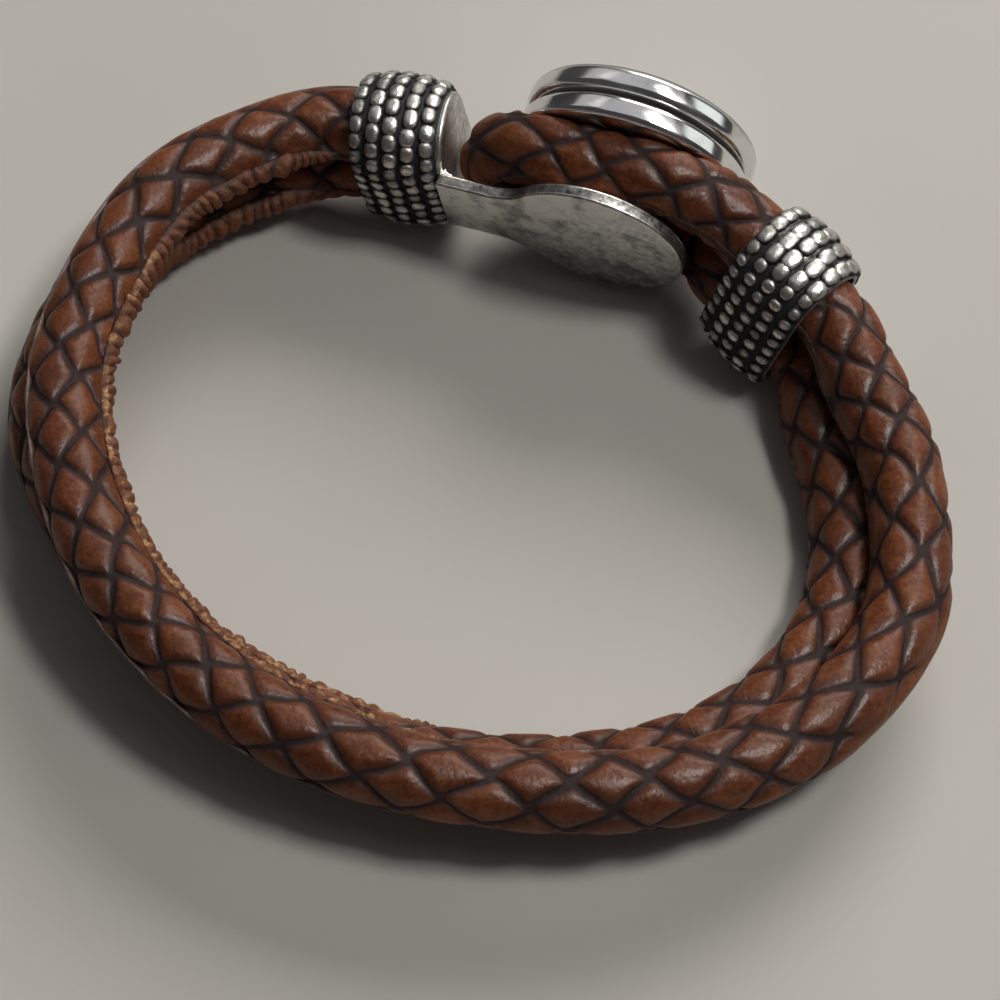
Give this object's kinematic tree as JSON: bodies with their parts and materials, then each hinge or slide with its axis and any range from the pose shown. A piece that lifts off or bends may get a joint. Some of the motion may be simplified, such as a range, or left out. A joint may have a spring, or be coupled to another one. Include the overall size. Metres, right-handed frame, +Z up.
{
  "type": "braided leather bracelet",
  "caption": "Wrist loop of round leather cord embossed with a braid and folded double, with beaded metal collars and a snap button that closes its folded end.",
  "frame": {"origin": "on the surface the bracelet lies on, under the middle of its outline in plan", "axes": "+Z up, +Y towards the clasp side, +X to the side of the slider collar"},
  "size_m": [0.073, 0.067, 0.02],
  "materials": {
    "leather": "waxed brown, dark in the grooves of the embossed braid",
    "old_silver": "antique silver plate, blackened in the recesses",
    "bright_silver": "polished"
  },
  "bodies": {
    "bracelet": {"leather_cord": "leather", "clasp_casting": "old_silver", "slider_collar": "old_silver"},
    "charm": {"snap_charm": "bright_silver"}
  },
  "joints": [
    {"name": "charm_turn", "type": "hinge", "parent": "bracelet", "child": "charm", "pos_m": [0.01188, 0.02231, 0.00937], "axis": [0.3265, 0.922, 0.2079], "continuous": true}
  ]
}
